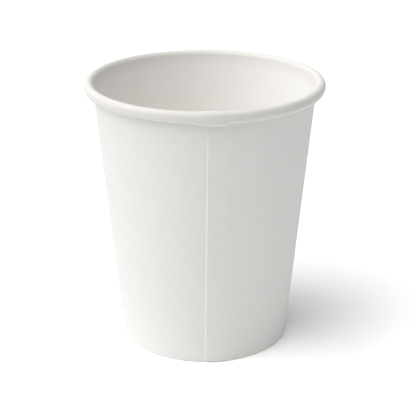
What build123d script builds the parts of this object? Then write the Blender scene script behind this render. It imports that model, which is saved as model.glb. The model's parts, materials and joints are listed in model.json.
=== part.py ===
from build123d import *

import os
from math import acos, atan2, ceil, cos, hypot, pi, radians, sin, tan

# Single-wall paper coffee cup, 8 oz size, in millimetres, with angles in radians.
# Two paperboard blanks: the side wall, wrapped to a cone with a glued lap seam, a rolled rim and a
# folded heel, and the base disc, whose skirt is clamped inside the fold of the heel.
# The origin is the middle of the ring that the cup stands on, +Z is up, and the seam faces -Y.

# Driving dimensions
rim_diameter = 80.0
base_diameter = 57.0
cup_height = 90.5

wall_board = 0.36
base_board = 0.30
seal_gap = 0.03

rim_roll = 3.2
roll_drop = 0.6
roll_gap = 0.06
roll_tuck = radians(50)

heel_height = 6.0
hem_clearance = 1.5

seam_azimuth = radians(-90)
seam_lean = 0.9
lap_width = 5.5
lap_edge = 0.3
lap_bite = 0.06
lap_tuck = 0.4
groove_clearance = 1.5

swell_growth = 0.15
swell_droop = 0.55
swell_ramp = 2.5
swell_bite = 0.2

# Rounds of the board are stepped into flats, none of which leaves the true round by more than this
flatness = 0.12

# Rolled rim: the middles of its upper and lower rounds, and of the turn tucked in behind its outside
rim_radius = rim_diameter / 2
base_radius = base_diameter / 2
roll_radius = rim_roll / 2
tuck_radius = roll_radius - wall_board - roll_gap
roll_crown = (rim_radius - roll_radius, cup_height - roll_radius)
roll_belly = (roll_crown[0], roll_crown[1] - roll_drop)
roll_core = (roll_belly[0], roll_belly[1] - roll_radius + tuck_radius)

# Slope of the wall: its inside face runs up tangent to the outside of the roll
wall_run = roll_crown[0] - base_radius
wall_rise = roll_crown[1]
slope = acos((roll_radius - wall_board) / hypot(wall_run, wall_rise)) - atan2(wall_rise, wall_run)

# Layers of the heel, counted inwards from the outside of the wall, and the heights of the base
skirt_outside = wall_board + seal_gap
skirt_inside = skirt_outside + base_board
hem_outside = skirt_inside + seal_gap
hem_inside = hem_outside + wall_board
skirt_foot = wall_board + seal_gap
base_underside = heel_height + hem_clearance
base_top = base_underside + base_board

# Ends of the lap seam, on the fold of the heel and behind the roll
lap_foot = wall_board
lap_head = roll_belly[1] - roll_radius + lap_tuck

# Swollen stretch of the roll: places along the rim, each with its growth and how far it hangs down
swell_sections = (
    (seam_lean - swell_ramp, -swell_bite, 0),
    (seam_lean + lap_edge, swell_growth, swell_droop),
    (seam_lean + lap_width - lap_edge, swell_growth, swell_droop),
    (seam_lean + lap_width + swell_ramp, -swell_bite, 0),
)


def wall_radius(height):
    """Outside radius of the wall at a height above the table."""
    return base_radius + height * tan(slope)


def wall_point(depth, height):
    """Point of the upright section that lies depth in from the outside of the wall."""
    return (wall_radius(height) - depth / cos(slope), height)


def rounded(centre, radius, start, turn, growth=0):
    """Points along a round, from an angle and by a turn. Growth moves them out and adds no flats."""
    flats = ceil(abs(turn) / (2 * acos(1 - flatness / radius)))
    angles = [start + turn * step / flats for step in range(flats + 1)]
    reach = radius + growth
    return [(centre[0] + reach * cos(angle), centre[1] + reach * sin(angle)) for angle in angles]


def roll_points(depth):
    """Points of the rolled rim, depth in from its face, from the wall over the crown to the raw edge."""
    return [
        *rounded(roll_crown, roll_radius - depth, pi - slope, slope - pi / 2),
        *rounded(roll_crown, roll_radius - depth, pi / 2, -pi / 2)[1:],
        *rounded(roll_belly, roll_radius - depth, 0, -pi / 2),
        *rounded(roll_core, tuck_radius - depth, -pi / 2, -roll_tuck)[1:],
    ]


def swell_points(growth, droop):
    """Points round the swollen roll, which has grown all round and whose underside hangs lower."""
    swell_belly = (roll_belly[0], roll_belly[1] - droop)
    return [
        *rounded(roll_crown, roll_radius, pi, -pi, growth),
        *rounded(swell_belly, roll_radius, 0, -pi, growth),
    ]


def lap_point(rise, along, height):
    """Point of the level section, rise out from the wall and along it from the edge of the outer ply."""
    place = seam_azimuth + (seam_lean * height / cup_height + along) / wall_radius(height)
    reach = wall_radius(height) + rise / cos(slope)
    return (reach * cos(place), reach * sin(place))


def lap_reach(height):
    """Place along the wall where the board, drawn straight off the lap, has come down into the wall."""
    radius = wall_radius(height)
    return lap_width + radius * acos((radius - lap_bite) / (radius + wall_board))


def upright_plane(along):
    """Plane through the axis of the cup and a place along the rim: x runs outwards and y runs up."""
    place = seam_azimuth + along / roll_crown[0]
    return Plane(origin=(0, 0, 0), x_dir=(cos(place), sin(place), 0), z_dir=(sin(place), -cos(place), 0))


# Side wall: one strip of board from the raw edge inside the heel, round the fold, up the cone and
# round the roll. A fold of the board is sharp inside, and its own thickness rounds it outside.
with BuildPart() as side_wall:
    outside = [
        wall_point(hem_inside, heel_height),
        *rounded(wall_point(hem_outside, wall_board), wall_board, pi - slope, pi / 2 + slope),
        *rounded(wall_point(wall_board, wall_board), wall_board, -pi / 2, pi / 2 - slope),
        *roll_points(wall_board),
    ]
    inside = [
        wall_point(hem_outside, heel_height),
        wall_point(hem_outside, wall_board),
        wall_point(wall_board, wall_board),
        *roll_points(0),
    ]
    with BuildSketch(Plane.XZ):
        with BuildLine():
            Polyline(*outside, *reversed(inside), close=True)
        make_face()
    revolve(axis=Axis.Z)

    # Lap seam: the outer ply lies on the inner one, with a bevelled free edge and a ramp at its far side
    for height in (lap_foot, lap_head):
        with BuildSketch(Plane.XY.offset(height)):
            with BuildLine():
                edge_foot = lap_point(-lap_bite, -lap_edge * lap_bite / wall_board, height)
                edge_top = lap_point(wall_board, lap_edge, height)
                ramp_top = lap_point(wall_board, lap_width, height)
                ramp_foot = lap_point(-lap_bite, lap_reach(height), height)
                Line(edge_foot, edge_top)
                RadiusArc(edge_top, ramp_top, -wall_radius(height) - wall_board)
                Line(ramp_top, ramp_foot)
                RadiusArc(ramp_foot, edge_foot, wall_radius(height) - lap_bite)
            make_face()
    loft(ruled=True)

    # Groove inside the cup, between the free edge of the inner ply and the board that climbs over it
    for height in (base_top + groove_clearance, lap_head):
        with BuildSketch(Plane.XY.offset(height)):
            with BuildLine():
                Polyline(
                    lap_point(-wall_board - lap_bite, lap_width, height),
                    lap_point(0, lap_width, height),
                    lap_point(-wall_board - lap_bite, lap_reach(height), height),
                    close=True,
                )
            make_face()
    loft(ruled=True, mode=Mode.SUBTRACT)

    # Swollen stretch of the roll, where the lap doubles the board inside it
    for along, growth, droop in swell_sections:
        with BuildSketch(upright_plane(along)):
            with BuildLine():
                Polyline(*swell_points(growth, droop), close=True)
            make_face()
    loft(ruled=True)

# Base disc: flat bottom, bent down at its edge into a skirt that stands inside the fold of the heel
with BuildPart() as base_disc:
    bend = wall_point(skirt_inside, base_underside)
    with BuildSketch(Plane.XZ):
        with BuildLine():
            Polyline(
                (0, base_top),
                *rounded(bend, base_board, pi / 2, -pi / 2 - slope),
                wall_point(skirt_outside, skirt_foot),
                wall_point(skirt_inside, skirt_foot),
                bend,
                (0, base_underside),
                close=True,
            )
        make_face()
    revolve(axis=Axis.Z)

side_wall.part.label = "side_wall"
base_disc.part.label = "base_disc"

os.makedirs("parts", exist_ok=True)
export_step(side_wall.part, "parts/side_wall.step")
export_step(base_disc.part, "parts/base_disc.step")
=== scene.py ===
import json
from math import acos, atan2, cos, hypot, pi, radians, sin, tan

import bpy
import numpy as np
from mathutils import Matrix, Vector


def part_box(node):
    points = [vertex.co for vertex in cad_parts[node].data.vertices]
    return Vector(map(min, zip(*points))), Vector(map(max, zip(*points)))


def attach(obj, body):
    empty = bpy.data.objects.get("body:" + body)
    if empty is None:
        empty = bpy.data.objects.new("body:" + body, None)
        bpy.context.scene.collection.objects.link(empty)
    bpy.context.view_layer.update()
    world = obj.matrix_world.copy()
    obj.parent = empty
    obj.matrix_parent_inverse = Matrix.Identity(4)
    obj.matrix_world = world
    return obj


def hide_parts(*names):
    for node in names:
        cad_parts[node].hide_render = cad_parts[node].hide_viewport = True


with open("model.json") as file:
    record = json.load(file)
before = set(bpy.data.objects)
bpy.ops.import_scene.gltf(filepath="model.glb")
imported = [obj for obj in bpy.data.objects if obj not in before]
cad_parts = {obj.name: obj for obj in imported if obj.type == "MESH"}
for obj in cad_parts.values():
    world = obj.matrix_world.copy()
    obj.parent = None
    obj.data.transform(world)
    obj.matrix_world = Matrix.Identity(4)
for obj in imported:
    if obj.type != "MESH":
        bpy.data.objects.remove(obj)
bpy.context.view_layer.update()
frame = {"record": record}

# Single-wall paper coffee cup: the side wall, one strip of board from the raw edge inside the heel to
# the raw edge inside the rolled rim, and the base disc that is clamped in the heel.
# Lengths are in millimetres until Blender takes them. Angles are in radians, and those of the lamps
# are in degrees.
MM = 0.001

# Cup: the rim and the height come from the frame, the rest repeats the sizes of the solids
RIM_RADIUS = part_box("side_wall")[1][0] / MM
MOUNTS = {mount["name"]: mount for mount in frame["record"]["mounts"]}
CUP_HEIGHT = MOUNTS["lid_seat"]["pos_m"][2] / MM
BASE_RADIUS = 28.5
WALL_BOARD = 0.36
BASE_BOARD = 0.30
SEAL_GAP = 0.03
ROLL_RADIUS = 1.6
ROLL_DROP = 0.6
ROLL_GAP = 0.06
ROLL_TUCK = radians(50)
HEEL_HEIGHT = 6.0
HEM_CLEARANCE = 1.5

# Lap seam: the free edge of the outer ply leans as it goes up, and the board falls back beyond the lap
SEAM_AZIMUTH = radians(-90)
SEAM_LEAN = 0.9
LAP_WIDTH = 5.5
LAP_EDGE = 0.3
LAP_RAMP = 7.0
LAP_TUCK = 0.4
LAP_FADE = 4.0
GROOVE_CLEARANCE = 1.5

# Flat of the seam: the wall is pressed in beside it, fully from a height above the table to a depth
# below the rim. The curve across it, share * (1 - share) ** 2, is highest at a third of its width.
FLAT_DEPTH = 0.32
FLAT_WIDTH = 22.0
FLAT_FOOT = 18.0
FLAT_HEAD = 24.0
FLAT_PEAK = 4 / 27

# Swelling of the roll where the lap doubles the board inside it: it starts before the free edge, ends
# past the lap and has a ramp at both ends. Round the roll it sets in over a part of a turn.
SWELL_GROWTH = 0.15
SWELL_DROOP = 0.7
SWELL_LEAD = 3.8
SWELL_END = 1.3
SWELL_RAMP = 1.9
SWELL_ONSET = radians(60)

# Hand of the machine: ribs pressed into the inside of the heel, a rim that isn't quite level and a
# disc that isn't quite flat. Each wave of the rim has its count round the cup, its share and its phase.
KNURL_RIBS = 96
KNURL_DEPTH = 0.08
KNURL_FOOT = 1.2
KNURL_HEAD = 5.2
KNURL_FADE = 0.4
WAVE_HEIGHT = 0.05
WAVE_REACH = 24.0
WAVES = ((3, 1.0, 0.7), (5, 0.6, 2.1), (11, 0.3, 4.0))
DISC_CROWN = 0.15

# Columns of the mesh: spaced along the rim, and closer at both edges of the lap. They follow the
# leaning edge in a zone beside it and blend into even spacing beyond.
COLUMN_STEP = 0.42
SEAM_STEP = 0.05
SEAM_MARGIN = 4
SEAM_ZONE = 14.0
SEAM_BLEND = 90.0
DISC_COLUMNS = 256

# Rows of the mesh: steps along the stretches of the sections. Edges that turn by more than the sharp
# angle aren't smoothed.
ROLL_STEP = radians(8)
HOLLOW_STEP = radians(18)
SIDE_ROWS = 26
HEM_ROWS = 14
FOLD_ROWS = 5
DISC_ROWS = 40
BEND_ROWS = 6
SKIRT_ROWS = 4
HIDDEN_ROWS = 2
SHARP_ANGLE = radians(32)

# Places that follow from these sizes
TUCK_RADIUS = ROLL_RADIUS - WALL_BOARD - ROLL_GAP
ROLL_CROWN = (RIM_RADIUS - ROLL_RADIUS, CUP_HEIGHT - ROLL_RADIUS)
ROLL_BELLY = (ROLL_CROWN[0], ROLL_CROWN[1] - ROLL_DROP)
ROLL_CORE = (ROLL_BELLY[0], ROLL_BELLY[1] - ROLL_RADIUS + TUCK_RADIUS)
WALL_RUN = ROLL_CROWN[0] - BASE_RADIUS
WALL_RISE = ROLL_CROWN[1]
SLOPE = acos((ROLL_RADIUS - WALL_BOARD) / hypot(WALL_RUN, WALL_RISE)) - atan2(WALL_RISE, WALL_RUN)
SKIRT_OUTSIDE = WALL_BOARD + SEAL_GAP
SKIRT_INSIDE = SKIRT_OUTSIDE + BASE_BOARD
HEM_OUTSIDE = SKIRT_INSIDE + SEAL_GAP
HEM_INSIDE = HEM_OUTSIDE + WALL_BOARD
SKIRT_FOOT = WALL_BOARD + SEAL_GAP
BASE_UNDERSIDE = HEEL_HEIGHT + HEM_CLEARANCE
BASE_TOP = BASE_UNDERSIDE + BASE_BOARD
LAP_HEAD = ROLL_BELLY[1] - ROLL_RADIUS + LAP_TUCK


def wall_radius(height):
    """Outside radius of the wall at a height above the table."""
    return BASE_RADIUS + height * tan(SLOPE)


def wall_point(depth, height):
    """Point of the upright section that lies depth in from the outside of the wall."""
    return (wall_radius(height) - depth / cos(SLOPE), height)


def run(start, end, steps=1):
    """Points of a straight stretch of the section."""
    return np.linspace(start, end, steps + 1)


def arc(centre, radius, start, turn, steps):
    """Points of a round stretch of the section, from an angle and by a turn."""
    angles = start + turn * np.linspace(0, 1, steps + 1)
    return np.column_stack((centre[0] + radius * np.cos(angles), centre[1] + radius * np.sin(angles)))


def ramp(value, start, end):
    """Smooth step from 0 at start to 1 at end."""
    share = np.clip((value - start) / (end - start), 0, 1)
    return share * share * (3 - 2 * share)


def joined(stretches):
    """Points of a section, and the name of the stretch that each of them starts or lies in."""
    points = np.concatenate([part[:-1] for _, part in stretches])
    names = np.concatenate([[name] * (len(part) - 1) for name, part in stretches])
    return points, names


# Side wall
def roll_face(depth, step):
    """Points of the rolled rim, depth in from its face, from the wall over the crown to the raw edge."""
    rounds = (
        (ROLL_CROWN, ROLL_RADIUS, pi - SLOPE, pi - SLOPE),
        (ROLL_BELLY, ROLL_RADIUS, 0, pi / 2),
        (ROLL_CORE, TUCK_RADIUS, -pi / 2, ROLL_TUCK),
    )
    faces = [
        arc(centre, radius - depth, start, -turn, round(turn / step))
        for centre, radius, start, turn in rounds
    ]
    return np.concatenate((faces[0], faces[1], faces[2][1:]))


def wall_section():
    """Closed section of the strip: its outside face up to the roll, then its inside face back down."""
    edge_inside = wall_point(HEM_INSIDE, HEEL_HEIGHT)
    edge_outside = wall_point(HEM_OUTSIDE, HEEL_HEIGHT)
    hem_fold = wall_point(HEM_OUTSIDE, WALL_BOARD)
    foot_fold = wall_point(WALL_BOARD, WALL_BOARD)
    hem_round = arc(hem_fold, WALL_BOARD, pi - SLOPE, pi / 2 + SLOPE, FOLD_ROWS)
    foot_round = arc(foot_fold, WALL_BOARD, -pi / 2, pi / 2 - SLOPE, FOLD_ROWS)
    hollow = roll_face(WALL_BOARD, HOLLOW_STEP)
    roll = roll_face(0, ROLL_STEP)[::-1]
    return joined((
        ("hem", run(edge_inside, hem_round[0], HEM_ROWS)),
        ("hem", hem_round),
        ("heel", run(hem_round[-1], foot_round[0])),
        ("heel", foot_round),
        ("outside", run(foot_round[-1], hollow[0], SIDE_ROWS)),
        ("hollow", hollow),
        ("cut", run(hollow[-1], roll[0])),
        ("roll", roll),
        ("inside", run(roll[-1], foot_fold, SIDE_ROWS)),
        ("hidden", run(foot_fold, hem_fold)),
        ("hidden", run(hem_fold, edge_outside, HIDDEN_ROWS)),
        ("cut", run(edge_outside, edge_inside)),
    ))


def close_columns(start, end):
    """Closely spaced places from a margin before start to a margin past end."""
    first = start - SEAM_MARGIN * SEAM_STEP
    return np.arange(first, end + (SEAM_MARGIN + 1) * SEAM_STEP, SEAM_STEP)


def wall_columns():
    """Places of the columns along the rim, counted from the free edge of the outer ply."""
    half_turn = pi * RIM_RADIUS
    plain = np.arange(-half_turn, half_turn, COLUMN_STEP)
    close = [close_columns(0, LAP_EDGE), close_columns(LAP_WIDTH, LAP_WIDTH)]
    for stretch in close:
        plain = plain[(plain < stretch[0] - SEAM_STEP) | (plain > stretch[-1] + SEAM_STEP)]
    return np.sort(np.concatenate([plain, *close]))


def lap_rise(along):
    """How far the outer ply stands out from the plain wall at a place along it."""
    bevel = np.clip(along / LAP_EDGE, 0, 1)
    return WALL_BOARD * bevel * (1 - ramp(along, LAP_WIDTH, LAP_WIDTH + LAP_RAMP))


def lap_groove(along):
    """How far the inside face steps back beyond the free edge of the inner ply."""
    return lap_rise(along) * (along >= LAP_WIDTH)


def seam_flat(along):
    """How far the wall is pressed in beside the seam: most near the edge, and coming back slowly."""
    share = np.clip(along / FLAT_WIDTH, 0, 1)
    return -FLAT_DEPTH * share * (1 - share) ** 2 / FLAT_PEAK


def lap_swell(along):
    """Share of the roll's swelling at a place along the rim."""
    end = LAP_WIDTH + SWELL_END
    return ramp(along, -SWELL_LEAD, SWELL_RAMP - SWELL_LEAD) * (1 - ramp(along, end - SWELL_RAMP, end))


def wall_points():
    """Points of the side wall as a grid of columns and rows, and the name of the stretch of each row."""
    section, names = wall_section()
    along = wall_columns()[:, None]
    radius, height = section[None, :, 0], section[None, :, 1]
    on_outside = np.isin(names, ("outside", "heel"))
    on_inside = names == "inside"

    # The raw edge of the hem is a cut as well, and lies no higher than the heel
    on_roll = np.isin(names, ("roll", "hollow", "cut")) & (section[:, 1] > HEEL_HEIGHT)

    # Lap and flat of the seam: out along the wall's normal, fading at the heel and behind the roll
    head = 1 - ramp(height, LAP_HEAD - LAP_FADE, LAP_HEAD)
    outer = on_outside * ramp(height, 0, WALL_BOARD) * head
    inner = on_inside * ramp(height, BASE_TOP, BASE_TOP + GROOVE_CLEARANCE) * head
    pressed = (on_outside | on_inside) * ramp(height, HEEL_HEIGHT, FLAT_FOOT)
    pressed = pressed * (1 - ramp(height, CUP_HEIGHT - FLAT_HEAD, LAP_HEAD))
    rise = outer * lap_rise(along) + inner * lap_groove(along) + pressed * seam_flat(along)
    radius = radius + rise * cos(SLOPE)
    height = height - rise * sin(SLOPE)

    # Swelling of the roll: it grows about its middle line, whose lower end hangs down
    middle = np.clip(section[:, 1], ROLL_BELLY[1], ROLL_CROWN[1])
    outward, upward = section[:, 0] - ROLL_CROWN[0], section[:, 1] - middle
    past_wall = np.mod(pi - SLOPE - np.arctan2(upward, outward), 2 * pi)
    swell = lap_swell(along) * (on_roll * ramp(past_wall, 0, SWELL_ONSET))
    radius = radius + SWELL_GROWTH * swell * outward / ROLL_RADIUS
    sagging = (ROLL_CROWN[1] - middle) / ROLL_DROP
    height = height + swell * (SWELL_GROWTH * upward / ROLL_RADIUS - SWELL_DROOP * sagging)

    # The columns follow the leaning edge near the seam and are evenly spaced on the far side
    near = 1 - ramp(np.abs(along), SEAM_ZONE, SEAM_ZONE + SEAM_BLEND)
    level = section[None, :, 1]
    leaning = (SEAM_LEAN * level / CUP_HEIGHT + along) / wall_radius(level)
    place = SEAM_AZIMUTH + near * leaning + (1 - near) * along / RIM_RADIUS

    # Ribs pressed into the hem, and the slow waves of the rim
    pressing = ramp(level, KNURL_FOOT - KNURL_FADE, KNURL_FOOT)
    pressing = pressing * (1 - ramp(level, KNURL_HEAD, KNURL_HEAD + KNURL_FADE))
    ribs = (1 + np.cos(KNURL_RIBS * place)) / 2
    radius = radius + KNURL_DEPTH * (names == "hem") * pressing * ribs
    wave = sum(share * np.sin(count * place + phase) for count, share, phase in WAVES)
    height = height + WAVE_HEIGHT * wave * ramp(level, CUP_HEIGHT - WAVE_REACH, CUP_HEIGHT)
    return np.stack((radius * np.cos(place), radius * np.sin(place), height), axis=2), names


# Base disc
def disc_section():
    """Section of the disc from its middle below, round the skirt and the bend, to its middle above."""
    bend = wall_point(SKIRT_INSIDE, BASE_UNDERSIDE)
    outer_bend = arc(bend, BASE_BOARD, -SLOPE, pi / 2 + SLOPE, BEND_ROWS)
    foot_outside = wall_point(SKIRT_OUTSIDE, SKIRT_FOOT)
    foot_inside = wall_point(SKIRT_INSIDE, SKIRT_FOOT)
    points, names = joined((
        ("underside", run((0, BASE_UNDERSIDE), bend, DISC_ROWS)),
        ("underside", run(bend, foot_inside, SKIRT_ROWS)),
        ("cut", run(foot_inside, foot_outside)),
        ("top", run(foot_outside, outer_bend[0], HIDDEN_ROWS)),
        ("top", outer_bend),
        ("top", run(outer_bend[-1], (0, BASE_TOP), DISC_ROWS)),
    ))
    return points[1:], names[1:]


def disc_points():
    """Points of the base disc as a grid of columns and rows, and the name of the stretch of each row."""
    section, names = disc_section()
    around = np.linspace(0, 2 * pi, DISC_COLUMNS, endpoint=False)[:, None]
    reach, level = section[None, :, 0], section[None, :, 1]
    share = np.clip(reach / wall_point(SKIRT_INSIDE, BASE_UNDERSIDE)[0], 0, 1)
    crown = DISC_CROWN * (1 - share ** 2) ** 2 * (level >= BASE_UNDERSIDE)
    place, radius, height = np.broadcast_arrays(around, reach, level + crown)
    return np.stack((radius * np.cos(place), radius * np.sin(place), height), axis=2), names


# Materials: what all boards share. The scale of a noise is in cells to a metre, and most of its values
# lie in the noise range.
CLOUDS = {"scale": 320, "detail": 5, "distortion": 0.6}
FIBRES = {"scale": 1400, "detail": 6, "distortion": 2.5}
NOISE_RANGE = (0.3, 0.7)
FIBRE_SHARE = 0.5
BUMP_STRENGTH = 0.35
SPECULAR_LEVEL = 0.3
COAT_ROUGHNESS = 0.35

# Painted shade on the coated board over the roll, darker over the crown and darkest on its outside:
# places out from the roll's middle, in shares of its radius
CROWN_PAINTED_SHADE = (0.86, 0.851, 0.842)
FACE_PAINTED_SHADE = (0.78, 0.772, 0.766)
ROLL_PAINTED_SHADES = ((-1.3, (1, 1, 1)), (-0.8, CROWN_PAINTED_SHADE), (0.5, CROWN_PAINTED_SHADE), (1.0, FACE_PAINTED_SHADE))


def noise(nodes, links, place, scale, detail, distortion):
    """Noise over the object."""
    texture = nodes.new("ShaderNodeTexNoise")
    texture.inputs["Scale"].default_value = scale
    texture.inputs["Detail"].default_value = detail
    texture.inputs["Distortion"].default_value = distortion
    links.new(place, texture.inputs["Vector"])
    return texture.outputs["Fac"]


def spread(nodes, links, value, low, high):
    """The middle of a noise's range, stretched to a range of its own."""
    stretch = nodes.new("ShaderNodeMapRange")
    stretch.inputs["From Min"].default_value = NOISE_RANGE[0]
    stretch.inputs["From Max"].default_value = NOISE_RANGE[1]
    stretch.inputs["To Min"].default_value = low
    stretch.inputs["To Max"].default_value = high
    links.new(value, stretch.inputs["Value"])
    return stretch.outputs["Result"]


def painted_roll_shade(nodes, links, place, colour):
    """Colour of the coated board with painted shade, darker over the crown of the roll and darkest on
    its outside.
    """
    level = nodes.new("ShaderNodeVectorMath")
    level.operation = "MULTIPLY"
    level.inputs[1].default_value = (1, 1, 0)
    links.new(place, level.inputs[0])
    reach = nodes.new("ShaderNodeVectorMath")
    reach.operation = "LENGTH"
    links.new(level.outputs["Vector"], reach.inputs[0])
    first, last = ROLL_PAINTED_SHADES[0][0], ROLL_PAINTED_SHADES[-1][0]
    across = nodes.new("ShaderNodeMapRange")
    across.inputs["From Min"].default_value = (ROLL_CROWN[0] + first * ROLL_RADIUS) * MM
    across.inputs["From Max"].default_value = (ROLL_CROWN[0] + last * ROLL_RADIUS) * MM
    links.new(reach.outputs["Value"], across.inputs["Value"])
    shades = nodes.new("ShaderNodeValToRGB")
    shades.color_ramp.interpolation = "EASE"
    stops = shades.color_ramp.elements
    for share, _ in ROLL_PAINTED_SHADES[1:-1]:
        stops.new((share - first) / (last - first))
    for stop, (_, shade) in zip(stops, ROLL_PAINTED_SHADES):
        stop.color = (*shade, 1)
    links.new(across.outputs["Result"], shades.inputs["Fac"])
    shaded = nodes.new("ShaderNodeMixRGB")
    shaded.blend_type = "MULTIPLY"
    shaded.inputs["Fac"].default_value = 1
    links.new(colour, shaded.inputs["Color1"])
    links.new(shades.outputs["Color"], shaded.inputs["Color2"])
    return shaded.outputs["Color"]


def board_material(name, dark, light, roughness, relief, coat=0.0, paint_roll_shade=False):
    """Paperboard: cloudy fibres in its colour, an uneven gloss and a fine relief, and painted shade over
    the roll where asked.
    """
    material = bpy.data.materials.new(name)
    material.use_nodes = True
    nodes, links = material.node_tree.nodes, material.node_tree.links
    shader = nodes["Principled BSDF"]
    place = nodes.new("ShaderNodeTexCoord").outputs["Object"]

    clouds = noise(nodes, links, place, **CLOUDS)
    fibres = noise(nodes, links, place, **FIBRES)
    blend = nodes.new("ShaderNodeMath")
    blend.operation = "MULTIPLY_ADD"
    blend.inputs[1].default_value = 1 - FIBRE_SHARE
    links.new(spread(nodes, links, clouds, 0, 1), blend.inputs[0])
    links.new(spread(nodes, links, fibres, 0, FIBRE_SHARE), blend.inputs[2])
    colours = nodes.new("ShaderNodeValToRGB")
    colours.color_ramp.elements[0].color = (*dark, 1)
    colours.color_ramp.elements[1].color = (*light, 1)
    links.new(blend.outputs[0], colours.inputs["Fac"])
    colour = colours.outputs["Color"]
    # Painted shade over the roll: the board's colour is darkened there
    if paint_roll_shade:
        colour = painted_roll_shade(nodes, links, place, colour)
    links.new(colour, shader.inputs["Base Color"])

    links.new(spread(nodes, links, clouds, *roughness), shader.inputs["Roughness"])
    bump = nodes.new("ShaderNodeBump")
    bump.inputs["Strength"].default_value = BUMP_STRENGTH
    bump.inputs["Distance"].default_value = relief * MM
    links.new(blend.outputs[0], bump.inputs["Height"])
    links.new(bump.outputs["Normal"], shader.inputs["Normal"])
    shader.inputs["Specular IOR Level"].default_value = SPECULAR_LEVEL
    shader.inputs["Coat Weight"].default_value = coat
    shader.inputs["Coat Roughness"].default_value = COAT_ROUGHNESS
    return material


# Boards: uncoated outside, coated inside and over the roll, and the raw edges
BOARDS = [
    board_material(
        "outer_board",
        dark=(0.806, 0.797, 0.778),
        light=(0.841, 0.832, 0.813),
        roughness=(0.72, 0.88),
        relief=0.03,
    ),
    board_material(
        "coated_board",
        dark=(0.947, 0.933, 0.902),
        light=(0.967, 0.954, 0.925),
        roughness=(0.45, 0.60),
        relief=0.02,
        coat=0.05,
        # The coated board carries painted shade over the crown and outside of the roll
        paint_roll_shade=True,
    ),
    board_material(
        "cut_board",
        dark=(0.78, 0.75, 0.70),
        light=(0.88, 0.86, 0.82),
        roughness=(0.85, 0.98),
        relief=0.08,
    ),
]
OUTER, COATED, CUT = range(len(BOARDS))
WALL_BOARDS = {
    "hem": OUTER, "heel": OUTER, "outside": OUTER, "hollow": OUTER,
    "cut": CUT, "roll": COATED, "inside": COATED, "hidden": COATED,
}
DISC_BOARDS = {"top": COATED, "cut": CUT, "underside": OUTER}


# Pieces
def ring_faces(columns, rows, closed):
    """Four-cornered faces between neighbouring columns and rows, and the row that each starts at."""
    column = np.arange(columns)[:, None]
    row = np.arange(rows if closed else rows - 1)[None, :]
    right, up = (column + 1) % columns, (row + 1) % rows
    corners = [column * rows + row, right * rows + row, right * rows + up, column * rows + up]
    faces = np.stack([np.broadcast_to(corner, (columns, row.size)) for corner in corners], axis=2)
    return faces.reshape(-1, 4), np.broadcast_to(row, (columns, row.size)).ravel()


def grid_piece(name, grid, row_names, row_boards, poles=()):
    """Mesh piece over a grid of columns and rows that goes round the axis, with a board for each row.

    The section is a closed loop, or its first and last rows are closed by fans to two poles on the axis.
    """
    columns, rows, _ = grid.shape
    faces, face_rows = ring_faces(columns, rows, closed=not poles)
    faces, face_rows = faces.tolist(), face_rows.tolist()
    column = np.arange(columns)
    right = (column + 1) % columns
    fans = ((0, right, column), (rows - 1, column, right))
    for pole, (row, first, second) in enumerate(fans[:len(poles)]):
        hub = np.full(columns, columns * rows + pole)
        faces += np.column_stack((hub, first * rows + row, second * rows + row)).tolist()
        face_rows += [row] * columns
    mesh = bpy.data.meshes.new(name)
    points = np.concatenate((grid.reshape(-1, 3), np.reshape(poles, (-1, 3))))
    mesh.from_pydata((points * MM).tolist(), [], faces)
    for board in BOARDS:
        mesh.materials.append(board)
    boards = np.array([row_boards[row_name] for row_name in row_names], dtype=np.int32)
    mesh.polygons.foreach_set("material_index", boards[face_rows])
    mesh.shade_smooth()
    mesh.update()
    mesh.validate()
    mesh.set_sharp_from_angle(angle=SHARP_ANGLE)
    piece = bpy.data.objects.new(name, mesh)
    bpy.context.collection.objects.link(piece)
    return piece


disc_middles = [(0, 0, level + DISC_CROWN) for level in (BASE_UNDERSIDE, BASE_TOP)]
side_wall = grid_piece("paper_wall", *wall_points(), WALL_BOARDS)
base_disc = grid_piece("paper_base", *disc_points(), DISC_BOARDS, disc_middles)

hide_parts("side_wall")
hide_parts("base_disc")
for piece in (side_wall, base_disc):
    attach(piece, "root")

# Floor: for the camera it is so white that only the cup's shadow shows on it, and for the light that
# bounces it is a plain pale surface
FLOOR_SIZE = 4000.0
FLOOR_WHITE = 1.28
FLOOR_BOUNCE = 0.95


def seen_directly(nodes, links):
    """1 where a ray comes from the camera, from gloss or through glass, and 0 for light that bounces."""
    path = nodes.new("ShaderNodeLightPath")
    seen = path.outputs["Is Camera Ray"]
    for name in ("Is Glossy Ray", "Is Transmission Ray"):
        either = nodes.new("ShaderNodeMath")
        either.operation = "MAXIMUM"
        links.new(seen, either.inputs[0])
        links.new(path.outputs[name], either.inputs[1])
        seen = either.outputs[0]
    return seen


def floor_material():
    """Matt surface with one level of white where it is seen and another for the light that bounces."""
    material = bpy.data.materials.new("floor")
    material.use_nodes = True
    nodes, links = material.node_tree.nodes, material.node_tree.links
    nodes.remove(nodes["Principled BSDF"])
    mix = nodes.new("ShaderNodeMixShader")
    for i, level in ((1, FLOOR_BOUNCE), (2, FLOOR_WHITE)):
        diffuse = nodes.new("ShaderNodeBsdfDiffuse")
        diffuse.inputs["Color"].default_value = (level, level, level, 1)
        links.new(diffuse.outputs["BSDF"], mix.inputs[i])
    links.new(seen_directly(nodes, links), mix.inputs[0])
    links.new(mix.outputs["Shader"], nodes["Material Output"].inputs["Surface"])
    return material


half = FLOOR_SIZE / 2 * MM
floor_corners = [(-half, -half, 0), (half, -half, 0), (half, half, 0), (-half, half, 0)]
floor_mesh = bpy.data.meshes.new("floor")
floor_mesh.from_pydata(floor_corners, [], [(0, 1, 2, 3)])
floor_mesh.materials.append(floor_material())
floor = bpy.data.objects.new("floor", floor_mesh)
bpy.context.collection.objects.link(floor)

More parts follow.
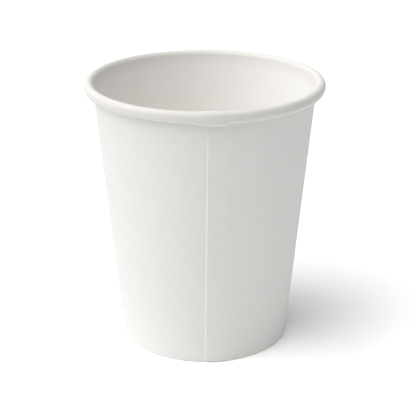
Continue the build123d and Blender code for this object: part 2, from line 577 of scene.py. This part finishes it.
# Light: two broad lamps at the left, a broad fill from the front, a low reflector close to the cup at
# the right and a little light from all round. Azimuths count from +X, and the reflector's power is in
# watts.
AMBIENT = 0.212
LAMPS = {
    "key": {"strength": 1.36, "width": 65, "elevation": 54, "azimuth": 210},
    "side": {"strength": 1.35, "width": 80, "elevation": 45, "azimuth": 180},
    "fill": {"strength": 0.42, "width": 80, "elevation": 65, "azimuth": 300},
}
CARD_POWER = 0.005
CARD_WIDTH = 60.0
CARD_HEIGHT = 24.0
CARD_DISTANCE = 110.0
CARD_AZIMUTH = -20


def broad_lamp(name, strength, width, elevation, azimuth):
    """Sun lamp as wide as a studio screen."""
    lamp = bpy.data.lights.new(name, "SUN")
    lamp.energy = strength
    lamp.angle = radians(width)
    holder = bpy.data.objects.new(name, lamp)
    holder.rotation_euler = (0, radians(90 - elevation), radians(azimuth))
    bpy.context.collection.objects.link(holder)


def low_card():
    """Reflector that stands on the floor and faces the axis of the cup. The camera doesn't see it."""
    lamp = bpy.data.lights.new("card", "AREA")
    lamp.shape = "RECTANGLE"
    lamp.size = CARD_WIDTH * MM
    lamp.size_y = CARD_HEIGHT * MM
    lamp.energy = CARD_POWER
    holder = bpy.data.objects.new("card", lamp)
    turn = radians(CARD_AZIMUTH)
    place = (CARD_DISTANCE * cos(turn), CARD_DISTANCE * sin(turn), CARD_HEIGHT / 2)
    holder.location = [length * MM for length in place]
    holder.rotation_euler = (pi / 2, 0, turn + pi / 2)
    holder.visible_camera = False
    bpy.context.collection.objects.link(holder)


def studio_world():
    """Even light for the object, and plain white where the background itself is seen."""
    world = bpy.data.worlds.new("studio")
    world.use_nodes = True
    nodes, links = world.node_tree.nodes, world.node_tree.links
    even_light = nodes["Background"]
    even_light.inputs["Strength"].default_value = AMBIENT
    backdrop = nodes.new("ShaderNodeBackground")
    backdrop.inputs["Strength"].default_value = 1
    mix = nodes.new("ShaderNodeMixShader")
    links.new(seen_directly(nodes, links), mix.inputs[0])
    for i, background in ((1, even_light), (2, backdrop)):
        background.inputs["Color"].default_value = (1, 1, 1, 1)
        links.new(background.outputs["Background"], mix.inputs[i])
    links.new(mix.outputs["Shader"], nodes["World Output"].inputs["Surface"])
    return world


bpy.context.scene.world = studio_world()
for lamp_name, lamp_values in LAMPS.items():
    broad_lamp(lamp_name, **lamp_values)
low_card()

# Camera: fitted to the edges of the cup in the photo
CAMERA_PLACE = (0.09, -421.1, 206.55)
CAMERA_PITCH = 0.3652
CAMERA_LENS = 115.29

camera_data = bpy.data.cameras.new("camera")
camera_data.lens = CAMERA_LENS
camera = bpy.data.objects.new("camera", camera_data)
camera.location = [length * MM for length in CAMERA_PLACE]
camera.rotation_euler = (pi / 2 - CAMERA_PITCH, 0, 0)
bpy.context.collection.objects.link(camera)
bpy.context.scene.camera = camera
bpy.context.scene.view_settings.view_transform = "Standard"
